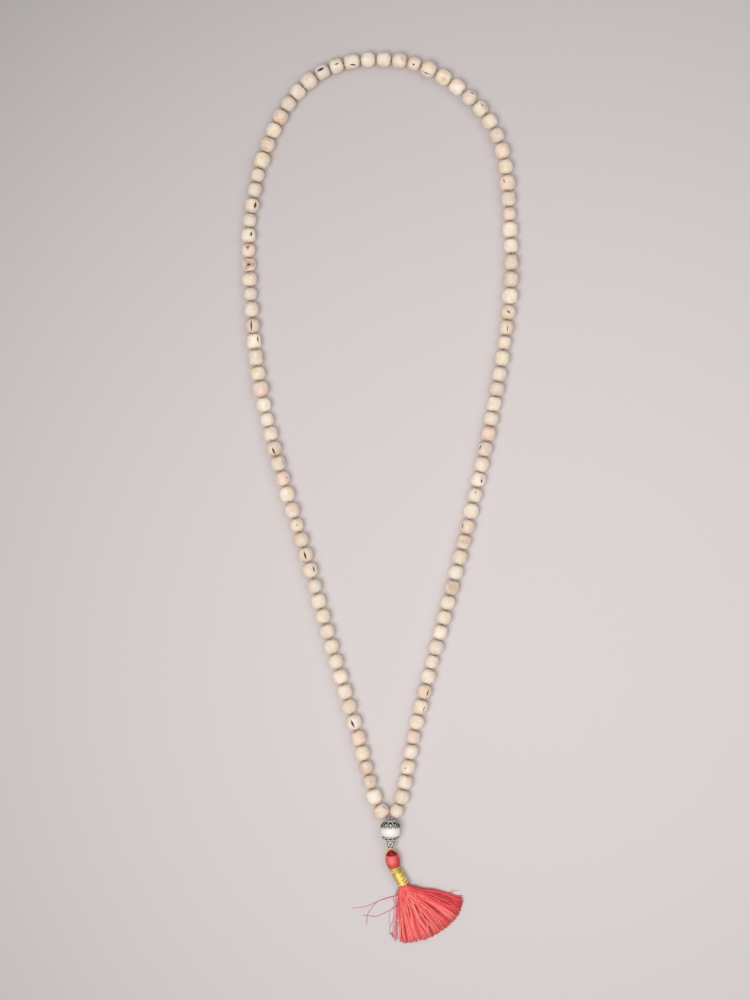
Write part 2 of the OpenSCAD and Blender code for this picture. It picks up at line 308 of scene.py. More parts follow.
class Seat:
    # one bead of the frame: its centre, its axis along the string, and its half length, girth and ball
    def __init__(self, points):
        self.points = points
        self.centre = (points.min(0) + points.max(0)) / 2

    def settle(self, ahead):
        # a bead is round about the one of its main directions that is nearest to the string's
        off = self.points - self.centre
        nearest = max(mainDirections(off), key=lambda main: abs(main @ ahead))
        ahead = nearest * np.sign(nearest @ ahead)
        along = off @ ahead
        self.half = float(along.max())
        self.girth = float(np.sqrt(((off - np.outer(along, ahead)) ** 2).sum(1)).max())
        self.ball = float(np.sqrt((off ** 2).sum(1)).max())
        self.ahead = Vector(ahead)
        self.turn = Matrix((up.cross(self.ahead).normalized(), up, self.ahead)).transposed()

    def cutFrom(self, luck):
        # its own length and sharpness of edge
        self.half += beadLook["longer"]
        self.crisp = luck.uniform(*beadLook["crisp"])
        least = beadLook["leastBall"] * max(self.half, self.girth)
        self.ball = max(self.ball, least) * luck.uniform(*beadLook["ball"])

    def onBead(self, co):
        # the point of the bead's surface in the direction of co: a ball cut to its length and girth
        crisp = self.crisp
        half, girth = (size / (1 - (size / self.ball) ** crisp) ** (1 / crisp)
                       for size in (self.half, self.girth))
        shares = (abs(co.z) / half, co.xy.length / girth, co.length / self.ball)
        return co / sum(share ** crisp for share in shares) ** (1 / crisp)


def walk(node, start):
    # the seats of one strand in order, from the guru bead upwards
    left = [Seat(points) for points in looseParts(node)]
    here = start
    order = []
    while left:
        nearest = min(left, key=lambda seat: np.linalg.norm(seat.centre - here))
        left.remove(nearest)
        order.append(nearest)
        here = nearest.centre
    return order


guruLow, guruHigh = corners("guru_bead")
guruCentre = (guruLow + guruHigh) / 2
guruR = (guruHigh.z - guruLow.z) / 2
leftSeats, rightSeats = (walk(node, np.array(guruCentre)) for node in ("beads_left", "beads_right"))
seats = leftSeats + rightSeats[::-1]
for i, seat in enumerate(seats):
    string = seats[min(i + 1, len(seats) - 1)].centre - seats[max(i - 1, 0)].centre
    seat.settle(string / np.linalg.norm(string))
print("seats:", len(seats), "beads,", len(leftSeats), "on the left")


# Wooden beads

beadLook = {
    "around": 32, "along": 21, "bore": 0.9,  # segments, and the radius of the drilled hole
    "skin": 0.02,  # how near to the hole's wall a point still counts as in it
    "longer": 0.07,  # than its solid
    "crisp": (9, 26), "ball": (1.0, 1.06), "leastBall": 1.02,  # sharpness and roundness of the edges
    "lump": 0.10, "lumpSize": 0.4, "lumpFade": 1.2,  # unevenness of hand turning, none at the hole
    "chip": 0.32, "chipSize": 0.8, "chipFrom": (0.62, 0.85),  # broken edges, as shares of the half length
    # carved flats: their slope, their shares of the way to the surface, and how much of the rest they take
    "flats": 6, "flatSlope": 0.7, "flatReach": (0.93, 0.985), "flatCut": 0.9,
    "grainLean": (1.3, 0.5), "lift": (0.96, 1.03),  # lean of the grain to the string, and own lightness
    "cells": 8, "cellRim": 0.05,  # the bake's grid of cells, a bead to a cell
}
# Colour of each bead along the string, from the left of the guru bead over the top:
# cream, pale, tan, kindled (peach), yellow, grey
beadTones = ("kpttykcccpyc" "cypgcttycpkg" "tcppkycptcgc"
             "kkcgcggytytg" "cggccpcckyyp" "gyygkykgkppt"
             "tpyccycgpckg" "cpcpktcptycp" "ccptcpkpcccc")
toneOf = {
    "c": tone(241, 227, 210), "p": tone(248, 235, 218), "t": tone(235, 217, 198),
    "k": tone(243, 222, 205), "y": tone(242, 229, 207), "g": tone(233, 220, 205),
}
# What the wood shows: depth in millimetres, darkness, brown stain round it, and how finely it is cut
markKinds = {
    "slit": (0.50, 0.95, 0.60, 3), "crease": (0.08, 0.30, 0.35, 2), "spot": (0.16, 0.60, 0.75, 3),
    "patch": (0.03, 0.0, 0.55, 1), "eye": (0.25, 0.9, 0.0, 2), "fleck": (0.06, 0.25, 0.4, 1),
}
markLook = {
    # finer faces round a mark: how far along it as a share of its size, and further off, in millimetres
    "reach": 1.6, "eyeReach": 3.4, "margin": 0.8, "under": 2.2, "shortEdge": 0.3, "offBore": 0.05,
    "behind": 2.4,  # points deeper than this are on the other side of the bead
    "ragged": ((0.3, 1.5), (0.14, 4.5)),  # size and fineness of the wander of its edge
    "rings": 3.6,  # how far an eye's rings reach
    # marks on the sides that face away
    "hidden": 2, "along": (-0.6, 0.6), "around": (1.3, 4.9), "long": (0.15, 0.5), "broad": (0.05, 0.14),
    "turn": 14, "kinds": ("fleck", "fleck", "patch", "slit"),
}
# Bead, place along the string and towards the outside of the loop, half length and half width, all as
# shares of the bead's radius, turn in degrees, kind
beadMarks = [
    (0, 0.2, -0.72, 0.34, 0.06, 12, "slit"), (2, 0.12, -0.2, 0.42, 0.16, -10, "patch"),
    (2, -0.1, -0.15, 0.25, 0.05, 20, "crease"), (3, 0.1, 0.55, 0.55, 0.14, 0, "patch"),
    (3, 0.0, 0.2, 0.6, 0.05, 8, "crease"), (6, -0.08, 0.2, 0.55, 0.13, 8, "slit"),
    (8, 0.1, -0.7, 0.4, 0.04, 0, "crease"), (9, 0.3, -0.7, 0.4, 0.05, 20, "crease"),
    (14, -0.1, 0.5, 0.5, 0.04, -6, "crease"), (16, 0.05, -0.6, 0.4, 0.1, 0, "slit"),
    (17, -0.05, 0.05, 0.6, 0.12, 0, "slit"), (19, 0, -0.1, 0.2, 0.08, 0, "spot"),
    (20, 0, 0.05, 0.2, 0.05, 0, "spot"), (20, -0.1, 0.55, 0.5, 0.05, 10, "crease"),
    (22, 0, 0.6, 0.6, 0.12, 0, "patch"), (22, -0.05, -0.6, 0.13, 0.1, 0, "spot"),
    (23, 0, -0.76, 0.6, 0.06, 0, "slit"), (24, -0.35, 0.12, 0.5, 0.12, 5, "slit"),
    (29, 0, -0.6, 0.55, 0.06, 0, "crease"), (30, 0, -0.5, 0.4, 0.04, 0, "crease"),
    (31, 0.2, -0.62, 0.45, 0.1, 0, "slit"), (32, 0, 0.12, 0.75, 0.1, -4, "slit"),
    (32, 0, -0.35, 0.5, 0.05, 0, "crease"), (33, 0.1, 0.1, 0.35, 0.04, 0, "crease"),
    (33, 0, -0.5, 0.5, 0.05, 10, "crease"), (35, 0.75, -0.1, 0.35, 0.25, 90, "patch"),
    (36, 0.0, 0.0, 0.24, 0.2, 90, "eye"), (37, 0.45, 0.05, 0.15, 0.12, 0, "eye"),
    (38, 0.1, -0.45, 0.35, 0.12, 0, "slit"), (40, 0, -0.5, 0.42, 0.17, 0, "slit"),
    (41, 0, -0.1, 0.5, 0.03, 0, "crease"), (44, -0.72, 0, 0.4, 0.2, 90, "patch"),
    (44, 0.72, 0, 0.4, 0.2, 90, "patch"), (46, 0, 0.5, 0.4, 0.12, 0, "patch"),
    (50, -0.1, 0.28, 0.55, 0.18, 0, "slit"), (51, 0.1, 0.05, 0.3, 0.07, 0, "slit"),
    (51, 0, 0.8, 0.45, 0.06, 0, "slit"), (52, 0.1, -0.6, 0.5, 0.1, -20, "slit"),
    (55, 0.4, 0.1, 0.3, 0.2, 90, "patch"), (56, 0, -0.3, 0.16, 0.13, 0, "slit"),
    (57, 0, -0.7, 0.62, 0.06, 0, "slit"), (58, 0.3, -0.35, 0.35, 0.25, 0, "patch"),
    (60, -0.1, 0.55, 0.3, 0.08, 8, "slit"), (60, 0, -0.7, 0.3, 0.06, 0, "crease"),
    (61, -0.2, 0.4, 0.35, 0.05, 0, "slit"), (61, 0.3, 0.5, 0.5, 0.3, 0, "patch"),
    (63, -0.2, 0, 0.25, 0.2, 0, "patch"), (66, -0.2, -0.45, 0.28, 0.07, 6, "slit"),
    (71, -0.3, 0.8, 0.35, 0.08, 8, "slit"), (72, 0.1, 0.7, 0.4, 0.05, 0, "crease"),
    (72, 0, -0.4, 0.35, 0.05, 0, "crease"), (74, 0, 0, 0.3, 0.14, 60, "spot"),
    (75, 0.1, 0.12, 0.55, 0.05, 6, "slit"), (75, 0, -0.68, 0.5, 0.06, 0, "patch"),
    (83, -0.1, -0.76, 0.4, 0.09, 0, "slit"), (85, 0.1, 0.45, 0.28, 0.1, 6, "slit"),
    (85, -0.3, 0.4, 0.4, 0.25, 0, "patch"), (86, -0.35, 0, 0.14, 0.1, 0, "spot"),
    (88, 0, -0.66, 0.42, 0.07, 0, "slit"), (89, 0, 0.1, 0.6, 0.22, 90, "patch"),
    (89, 0, 0.1, 0.5, 0.07, 90, "crease"), (90, 0, 0.65, 0.4, 0.06, 0, "crease"),
    (92, -0.1, 0.1, 0.5, 0.45, 0, "patch"), (99, 0, 0.45, 0.5, 0.09, 0, "slit"),
    (100, 0.05, 0.5, 0.4, 0.06, 0, "slit"), (104, 0.1, -0.35, 0.15, 0.11, 0, "spot"),
    (107, 0.1, 0.1, 0.5, 0.03, 15, "crease"), (107, 0, -0.3, 0.3, 0.03, -60, "crease"),
]


def beadLayers(work):
    layers = work.verts.layers
    return (layers.float_vector.new("grain"), layers.float_color.new("tone"), layers.float.new("dark"),
            layers.float.new("stain"), layers.float.new("rings"), layers.float.new("ends"),
            work.loops.layers.uv.new("OFBake"))


class Mark:
    # one mark on one bead; around is its angle from the top of the bead towards the outside of the loop
    def __init__(self, seat, along, around, long, broad, turn, kind):
        self.kind = kind
        self.depth, self.dark, self.stain, self.cuts = markKinds[kind]
        self.long, self.broad = long * seat.girth, broad * seat.girth
        self.place = seat.onBead(Vector((math.sin(around), math.cos(around), along)))
        self.away = self.place.normalized()
        self.run = (Vector((0, 0, 1)) - self.away * self.away.z).normalized()
        self.run.rotate(Matrix.Rotation(math.radians(turn), 3, self.away))
        self.cross = self.away.cross(self.run)

    def covers(self, co):
        # whether the faces at co are made finer
        off = co - self.place
        reach = markLook["eyeReach"] if self.kind == "eye" else markLook["reach"]
        return (abs(off.dot(self.run)) < reach * self.long + markLook["margin"]
                and abs(off.dot(self.cross)) < reach * self.broad + markLook["margin"]
                and off.dot(self.away) > -markLook["under"])

    def distance(self, co):
        # 0 at its middle and 1 at its edge, a lens with ragged sides or a three-sided ring
        off = co - self.place
        if off.dot(self.away) < -markLook["behind"]:
            return math.inf
        a, c = off.dot(self.run) / self.long, off.dot(self.cross) / self.broad
        if self.kind == "eye":
            return math.hypot(a, c) * (1 + 0.2 * math.cos(3 * math.atan2(c, a)))
        return math.hypot(a, c / max(0.3, 1 - 0.7 * a * a))


def marksOf(seat, index, luck):
    marks = [Mark(seat, along, math.asin(out), *rest)
             for number, along, out, *rest in beadMarks if number == index]
    for _ in range(markLook["hidden"]):
        sizes = [luck.uniform(*markLook[name]) for name in ("along", "around", "long", "broad")]
        marks.append(Mark(seat, *sizes, luck.gauss(0, markLook["turn"]), luck.choice(markLook["kinds"])))
    return marks


def inBore(co):
    return co.xy.length < beadLook["bore"] + beadLook["skin"]


def flatsOf(seat, luck):
    # directions of the carved flats, and how far out they lie
    flats = []
    for _ in range(beadLook["flats"]):
        a = luck.uniform(0, 2 * math.pi)
        slope = luck.choice((-1, 0, 1)) * luck.uniform(0, beadLook["flatSlope"])
        away = Vector((math.cos(a), math.sin(a), slope)).normalized()
        flats.append((away, luck.uniform(*beadLook["flatReach"]) * seat.onBead(away).length))
    return flats


def bakeCell(work, layer, half, index):
    # a cell of the bake's grid, the outside over most of it and the bore in a strip at its side
    cell, rim = 1 / beadLook["cells"], beadLook["cellRim"]
    row, column = divmod(index % len(leftSeats), beadLook["cells"])
    for face in work.faces:
        middle = face.calc_center_median()
        facing = math.atan2(middle.y, middle.x)
        inside = all(inBore(vert.co) for vert in face.verts)
        for corner in face.loops:
            co = corner.vert.co
            angle = math.atan2(co.y, co.x)
            angle += 2 * math.pi * round((facing - angle) / (2 * math.pi))
            u = (angle / math.pi + 1) / 2
            if inside:
                v = 0.01 + 0.06 * (co.z / half + 1) / 2
            else:
                v = 0.1 + 0.9 * math.acos(clamp(co.z / half / 1.02, -1)) / math.pi
            corner[layer].uv = [(base + rim + share * (1 - 2 * rim)) * cell
                                for base, share in ((column, u), (row, v))]


def beadBody(seat, index, luck):
    seat.cutFrom(luck)
    bore, half = beadLook["bore"], seat.half
    work = bmesh.new()
    grainLayer, toneLayer, darkLayer, stainLayer, ringLayer, endLayer, uvLayer = beadLayers(work)
    rim = [seat.onBead(Vector((math.sin(t), 0, math.cos(t))))
           for t in poleToPole(math.atan2(bore, half), beadLook["along"])]
    turned(work, rim + [(bore, 0, -half / 3), (bore, 0, half / 3)], beadLook["around"])

    # finer faces under each mark
    marks = marksOf(seat, index, luck)
    for mark in marks:
        near = [e for e in work.edges if e.calc_length() > markLook["shortEdge"]
                and all(mark.covers(v.co) and v.co.xy.length > bore + markLook["offBore"] for v in e.verts)]
        bmesh.ops.subdivide_edges(work, edges=near, cuts=mark.cuts, use_grid_fill=True)

    # the round of the bead, its flats, its lumps and its broken edges, then the marks
    shift = Vector([luck.uniform(-50, 50) for _ in range(3)])
    spin = (Matrix.Rotation(luck.uniform(0, 2 * math.pi), 3, "Z")
            @ Matrix.Rotation(luck.gauss(*beadLook["grainLean"]), 3, "X"))
    flats = flatsOf(seat, luck)
    own = Vector(toneOf[beadTones[index]]).xyz * luck.uniform(*beadLook["lift"])
    for vert in work.verts:
        co = vert.co
        wide = co.xy.length
        vert[grainLayer] = spin @ co + shift
        vert[toneLayer] = (*own, 1)
        vert[endLayer] = 1.2 if inBore(co) else abs(co.z) / half
        if inBore(co):
            continue
        co = seat.onBead(co)
        for away, reach in flats:
            co -= away * max(co.dot(away) - reach, 0) * beadLook["flatCut"]
        lump = beadLook["lump"] * smooth(wide, bore, bore + beadLook["lumpFade"])
        co += co.normalized() * lump * noise.noise(co * beadLook["lumpSize"] + shift)
        edge = smooth(abs(co.z) / half, *beadLook["chipFrom"]) * smooth(wide, bore + 0.5, seat.girth * 0.7)
        broken = max(0.0, noise.noise(vert.co * beadLook["chipSize"] + shift) + 0.1)
        co -= co.normalized() * beadLook["chip"] * edge * broken
        ragged = sum(size * noise.noise(vert.co * fine + shift) for size, fine in markLook["ragged"])
        for mark in marks:
            far = mark.distance(vert.co)
            co -= mark.away * mark.depth * smooth(far + ragged, 1.2, 0.3)
            vert[darkLayer] = max(vert[darkLayer], mark.dark * smooth(far + ragged, 1.3, 0.75))
            vert[stainLayer] = max(vert[stainLayer], mark.stain * smooth(far + ragged, 2.4, 0.8))
            if mark.kind == "eye":
                vert[ringLayer] = max(vert[ringLayer], 1 - far / markLook["rings"])
        vert.co = co

    bakeCell(work, uvLayer, half, index)
    work.transform(Matrix.Translation(Vector(seat.centre)) @ seat.turn.to_4x4())
    for vert in work.verts:
        vert.co.z = max(vert.co.z, floor)
    return work


def woodFinish():
    wood = Finish("paleWood", {"Subsurface Weight": 0.06, "Subsurface Scale": 1.2 * mm,
                               "Specular IOR Level": 0.4})
    grain = wood.attribute("grain", 1)
    own = wood.attribute("tone", 0)
    fibres = wood.noise(wood.stretch(grain, (0.35, 3.2, 3.2)), 1.0, 4, 0.6, 0.3)
    fine = wood.noise(wood.stretch(grain, (0.8, 7.0, 7.0)), 1.0, 3, 0.65)
    mottle = wood.noise(grain, 0.42, 3, 0.55, 0.6)
    rings = wood.node("TexWave", {"wave_type": "RINGS", "rings_direction": "X"},
                      {"Vector": grain, "Scale": 0.55, "Distortion": 3.0, "Detail": 2.0,
                       "Detail Scale": 0.6}, 1)
    pores = wood.node("TexVoronoi", {}, {"Vector": wood.stretch(grain, (0.55, 1.7, 1.7)), "Scale": 1.0})
    pore = wood.ramp(pores, 0.12, 0.05)
    light = 0.76 + 0.26 * fibres + 0.16 * fine + 0.08 * rings
    colour = wood.shade(own, light)
    rosy = wood.ramp(wood.noise(grain, 0.25, 2, 0.5, 0.4), 0.45, 0.62)
    colour = wood.blend(colour, wood.blend(colour, tone(252, 240, 232), 1.0, "MULTIPLY"), rosy)
    colour = wood.blend(colour, tone(204, 180, 156), wood.ramp(mottle, 0.56, 0.8) * 0.3)
    colour = wood.blend(colour, tone(158, 124, 98), pore * 0.5)
    # painted shade at the gaps between beads: the rims of the sawn ends darkened in patches, and the end
    # faces and the hole darkened more
    ends = wood.attribute("ends")
    uneven = wood.ramp(wood.noise(grain, 0.9, 2), 0.46, 0.56)
    rim = wood.ramp(ends, 0.80, 0.88) * wood.ramp(ends, 1.0, 0.93) * uneven
    colour = wood.blend(colour, tone(140, 108, 84), rim * 0.5)
    colour = wood.blend(colour, tone(150, 118, 90), wood.ramp(ends, 0.97, 1.06) * 0.5)
    stain = wood.attribute("stain")
    stained = wood.ramp(stain + 0.5 * fine - 0.25, 0.12, 1.0)
    colour = wood.blend(colour, tone(186, 140, 110), stained * 0.75)
    eye = wood.attribute("rings")
    waves = wood.sum("SINE", eye * 23 + 1.6 * fibres)
    eyeRings = wood.ramp(waves, 0.0, 0.7) * wood.ramp(eye, 0.04, 0.2)
    colour = wood.blend(colour, tone(116, 66, 48), eyeRings)
    dark = wood.attribute("dark")
    colour = wood.blend(colour, tone(84, 52, 38), wood.ramp(dark + 0.3 * fine, 0.3, 1.0))
    wood.colour(colour)
    wood.roughness(0.62 - 0.12 * mottle + 0.25 * dark)
    wood.bump(0.6 * fibres + 0.5 * fine - 0.6 * pore - 0.5 * eyeRings - 0.5 * rim, 0.5, 0.1)
    return wood


def makeBeads():
    wood = woodFinish()
    luck = random.Random(108)
    wholes = [bmesh.new(), bmesh.new()]
    for whole in wholes:
        beadLayers(whole)
    for index, seat in enumerate(seats):
        merge(wholes[index >= len(leftSeats)], beadBody(seat, index, luck))
    finishPiece("beadsLeft", wholes[0], wood, "bead_wood", "beads_left")
    finishPiece("beadsRight", wholes[1], wood, "bead_wood", "beads_right")


# Thread through the beads

threadLook = {
    "width": 0.86, "step": 0.42, "plies": 3, "depth": 0.16, "points": 9, "turn": 1.45,
    "apart": 0.51,  # each of its two strands from the middle of the guru bead
    "foot": 0.05, "mouth": 0.4,  # where they start in the guru bead and end over the top cap
    "inBead": 0.92,  # how much of a bead's length it runs straight through
}


def threadRoute():
    foot = corners("thread")[0].y + threadLook["foot"]
    mouth = corners("cap_top")[1].y + threadLook["mouth"]
    apart = threadLook["apart"]
    ahead = [Vector((guruCentre.x - apart, y, guruCentre.z)) for y in (foot, mouth)]
    back = [Vector((guruCentre.x + apart, y, guruCentre.z)) for y in (mouth, foot)]
    inside = []
    for seat in seats:
        reach = threadLook["inBead"] * seat.half * seat.ahead
        inside += [Vector(seat.centre) - reach, Vector(seat.centre) + reach]
    stops = ahead + inside + back
    route = [stops[0]]
    for a, b in zip(stops, stops[1:]):
        pieces = max(1, round((b - a).length / threadLook["step"]))
        route += [a.lerp(b, k / pieces) for k in range(1, pieces + 1)]
    return route


def makeThread():
    spun = Finish("spunThread", {"Sheen Weight": 0.3, "Sheen Roughness": 0.5, "Roughness": 0.75})
    fuzz = spun.noise(spun.objectPlace(), 900.0, 3, 0.6)
    spun.colour(spun.blend(tone(132, 110, 92), tone(214, 196, 174), spun.ramp(fuzz, 0.3, 0.7)))
    spun.bump(fuzz, 0.4, 0.06)
    work = sweep("thread", [threadRoute()], threadLook["width"], outline=lobed(threadLook),
                 twist=threadLook["turn"])
    finishPiece("beadThread", work, spun, "bead_thread", "thread")


# Guru bead and silver caps

guruLook = {"bore": 1.41, "along": 26, "around": 56}


def makeGuru():
    stone = Finish("whiteStone", {"Subsurface Weight": 0.15, "Subsurface Scale": 1.5 * mm,
                                  "Coat Weight": 0.35, "Coat Roughness": 0.08})
    cloud = stone.noise(stone.objectPlace(), 260.0, 4, 0.5, 0.4)
    stone.colour(stone.blend(tone(246, 235, 226), tone(255, 247, 239), stone.ramp(cloud, 0.35, 0.7)))
    stone.roughness(0.22 + 0.12 * cloud)
    stone.bump(cloud, 0.08, 0.05)
    work = bmesh.new()
    turned(work, [(guruR * math.sin(t), 0, guruR * math.cos(t))
                  for t in poleToPole(math.asin(guruLook["bore"] / guruR), guruLook["along"])],
           guruLook["around"])
    work.transform(Matrix.Translation(guruCentre) @ Matrix.Rotation(-math.pi / 2, 4, "X"))
    finishPiece("guruBead", work, stone, "white_stone", "guru_bead")


capLook = {
    "petals": 10, "wire": 0.46, "inner": 0.34, "grain": 0.34, "collar": 0.62, "clear": 0.15,
    # latitudes on the guru bead: where the petals end on each cap and at the top, and the two collars
    "topRim": 18, "bottomRim": 36, "petalTop": 62, "neck": 70, "seam": 60,
    # the dark backing's outer and inner side: height over the bead and latitudes
    "backing": ((0.3, range(46, 75, 4)), (0.12, range(74, 45, -4))), "backingAround": 40,
    "topWorn": (0.4, 0.66), "bottomWorn": (0.36, 0.6),  # heights over the bead where the metal is bright
}


def silverFinish():
    silver = Finish("oxidisedSilver", {})
    polish = silver.attribute("polish")
    cloud = silver.noise(silver.objectPlace(), 1400.0, 4, 0.6)
    worn = silver.ramp(polish + 0.6 * cloud - 0.3, 0.35, 0.9)
    silver.colour(silver.blend(tone(12, 10, 8), tone(240, 232, 224), worn))
    silver.plug(silver.shader.inputs["Metallic"], 0.08 + 0.45 * worn)
    silver.roughness(0.7 - 0.38 * worn + 0.1 * cloud)
    silver.bump(cloud, 0.25, 0.05)
    return silver


def onBall(radius, latitude, turn):
    # a point over the guru bead, its pole along +Y
    lat, lon = math.radians(latitude), math.radians(turn)
    flat = radius * math.cos(lat)
    return Vector((flat * math.sin(lon), radius * math.sin(lat), flat * math.cos(lon)))


def addBall(whole, radius, place):
    bmesh.ops.create_icosphere(whole, subdivisions=2, radius=radius, matrix=Matrix.Translation(place))


def polishBy(work, measure, low, high):
    layer = work.verts.layers.float["polish"]
    for vert in work.verts:
        vert[layer] = smooth(measure(vert.co), low, high)


def petalCap(name, node, side, silver):
    seatR = guruR + capLook["clear"] + capLook["wire"] / 2
    petal = 360 / capLook["petals"]
    rim, top = capLook[side + "Rim"], capLook["petalTop"]
    middle, reach = (rim + top) / 2, (top - rim) / 2
    whole = bmesh.new()
    whole.verts.layers.float.new("polish")
    loops, scrolls, balls = [], [], []
    for i in range(capLook["petals"]):
        turn = i * petal
        loops.append([onBall(seatR, middle + reach * math.cos(a),
                             turn + 0.5 * petal * math.sin(a) * (1.0 - 0.18 * math.cos(a)))
                      for a in fullTurn(20)])
        scrolls.append([onBall(seatR - 0.04, middle - 0.12 * reach + 0.5 * reach * math.cos(a),
                               turn + 0.24 * petal * math.sin(a) * (1.25 - 0.4 * math.cos(a)))
                        for a in fullTurn(14)])
        balls += [(seatR + 0.02, rim + 2, turn), (seatR, middle + 0.1 * reach, turn + petal / 2),
                  (seatR + 0.05, top + 1, turn + petal / 2)]
    collars = [[onBall(seatR + lift, capLook[latitude], t) for t in range(0, 360, 9)]
               for lift, latitude in ((0.05, "neck"), (-0.02, "seam"))]
    merge(whole, sweep("petals", loops, capLook["wire"], 1, loop=True))
    merge(whole, sweep("scrolls", scrolls, capLook["inner"], 1, loop=True))
    merge(whole, sweep("collar", collars, capLook["collar"], 2, loop=True))
    for ball in balls:
        addBall(whole, capLook["grain"], onBall(*ball))
    backing = bmesh.new()
    turned(backing, [onBall(guruR + lift, latitude, 0) for lift, latitudes in capLook["backing"]
                     for latitude in latitudes], capLook["backingAround"], (0, 1, 0))
    merge(whole, backing)
    low, high = capLook[side + "Worn"]
    polishBy(whole, lambda co: co.length, guruR + low, guruR + high)
    if side == "bottom":
        bmesh.ops.rotate(whole, verts=whole.verts, cent=(0, 0, 0), matrix=Matrix.Rotation(math.pi, 3, "X"))
    bmesh.ops.translate(whole, verts=whole.verts, vec=guruCentre)
    finishPiece(name, whole, silver, "silver", node)


tipLook = {
    "petals": 6, "wire": 0.44, "top": 2.0, "mouth": 1.5, "inset": 0.4,
    # a petal's corners: height over the mouth as a share, and turn in petals
    "corners": ((0.92, -0.5), (0.5, -0.36), (0.06, -0.1), (0.0, 0.0), (0.06, 0.1), (0.5, 0.36), (0.92, 0.5)),
    "hoops": ((1.0, 0.05), (0.78, 0.02), (0.0, 0.05)),  # height and lift
    "ball": 0.3, "ballHigh": 0.42, "ballLift": 0.06,
    "sleeve": ((0.0, -0.16), (1.0, -0.16), (1.0, -0.32), (0.0, -0.32)), "around": 28,
    "worn": 0.16,  # height over the cone where the metal is bright
}


def makeTipCap(silver):
    low, high = corners("tip_cap")
    length = high.y - low.y - tipLook["inset"]
    flare = tipLook["top"] - tipLook["mouth"]
    step = 360 / tipLook["petals"]
    whole = bmesh.new()
    whole.verts.layers.float.new("polish")

    def onCone(share, turn, lift=0.0):
        radius = tipLook["mouth"] + flare * share + lift
        a = math.radians(turn)
        return Vector((radius * math.sin(a), (share - 0.5) * length, radius * math.cos(a)))

    petals = [[onCone(share, (i + turn) * step) for share, turn in tipLook["corners"]]
              for i in range(tipLook["petals"])]
    merge(whole, sweep("tipPetals", petals, tipLook["wire"], 1))
    hoops = [[onCone(share, t, lift) for t in range(0, 360, 12)] for share, lift in tipLook["hoops"]]
    merge(whole, sweep("tipHoops", hoops, tipLook["wire"], 1, loop=True))
    for i in range(tipLook["petals"]):
        addBall(whole, tipLook["ball"], onCone(tipLook["ballHigh"], i * step, tipLook["ballLift"]))
    sleeve = bmesh.new()
    turned(sleeve, [onCone(share, 0, lift) for share, lift in tipLook["sleeve"]], tipLook["around"],
           (0, 1, 0))
    merge(whole, sleeve)
    middle = tipLook["mouth"] + flare / 2
    polishBy(whole, lambda co: math.hypot(co.x, co.z) - flare / length * co.y - middle, 0.0, tipLook["worn"])
    bmesh.ops.translate(whole, verts=whole.verts, vec=(low + high) / 2)
    finishPiece("tipCap", whole, silver, "silver", "tip_cap")


# Tassel: where its head, wrap and fringe sit

def nodeAxis(node):
    # centre, direction and half length of a long node
    points = np.array([v.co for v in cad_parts[node].data.vertices]) / mm
    centre = (points.min(0) + points.max(0)) / 2
    ahead = mainDirections(points)[2]
    ahead = ahead * (-1 if ahead[1] > 0 else 1)
    ahead[2] = 0
    ahead = ahead / np.linalg.norm(ahead)
    along = (points - centre) @ ahead
    return Vector(centre), Vector(ahead), float(along.max() - along.min()) / 2


wrapCentre, wrapDir, wrapHalf = nodeAxis("gold_wrap")
wrapLow, wrapHigh = corners("gold_wrap")
wrapR = (wrapHigh.z - wrapLow.z) / 2
wrapStart = wrapCentre - wrapHalf * wrapDir
wrapEnd = wrapCentre + wrapHalf * wrapDir
headLook = {
    "inset": 0.3, "gap": 0.95,  # from the node's upper end, and from its lower edge to the wrap
    "shape": [0.18, 0.53, 0.75, 0.88, 0.95, 0.99, 1.00, 0.99, 0.95, 0.88],
    "around": 144, "along": 60, "ridge": 0.045, "strands": 60, "turnIn": 0.7, "turnSteps": 8,
    # the hollow under the fold: its lower edge, how that tilts, the rim left round it, and its depth
    "hollowEnd": 3.0, "hollowTilt": 0.13, "hollowSag": 0.05, "hollowStart": 0.55, "hollowRim": 0.1,
    "hollowDeep": 1.7, "lip": 0.2,
}
headLow, headHigh = corners("tassel_head")
headR = (headHigh.z - headLow.z) / 2
headStart = Vector((guruCentre.x, headHigh.y - headLook["inset"], headR))
headLine = wrapStart.xy - headStart.xy
headDir = headLine.normalized().to_3d()
headLength = headLine.length - headLook["gap"]
print("wrap from", wrapStart, "to", wrapEnd, "head", headStart, headLength)


def headWide(share):
    shape = headLook["shape"]
    t = clamp(share) * (len(shape) - 1)
    i = min(int(t), len(shape) - 2)
    return headR * onCurve(shape, i, t - i)


def silkFinish(name, deep, body, bright, sheen):
    silk = Finish(name, {"Sheen Weight": sheen, "Sheen Roughness": 0.35, "Specular IOR Level": 0.4})
    tintAndLight = silk.attribute("tintAndLight")
    fibre = silk.noise(silk.objectPlace(), 900.0, 3, 0.6)
    patch = silk.noise(silk.objectPlace(), 160.0, 2, 0.5)
    tint = tintAndLight + 0.3 * fibre + 0.25 * patch - 0.27
    mixed = silk.blend(deep, body, silk.ramp(tint, 0.0, 0.42))
    mixed = silk.blend(mixed, bright, silk.ramp(tint, 0.55, 1.0))
    silk.colour(silk.blend(mixed, tone(206, 70, 42), silk.attribute("warm") * 0.6))
    silk.roughness(0.42 + 0.2 * fibre)
    silk.bump(fibre, 0.3, 0.05)
    return silk


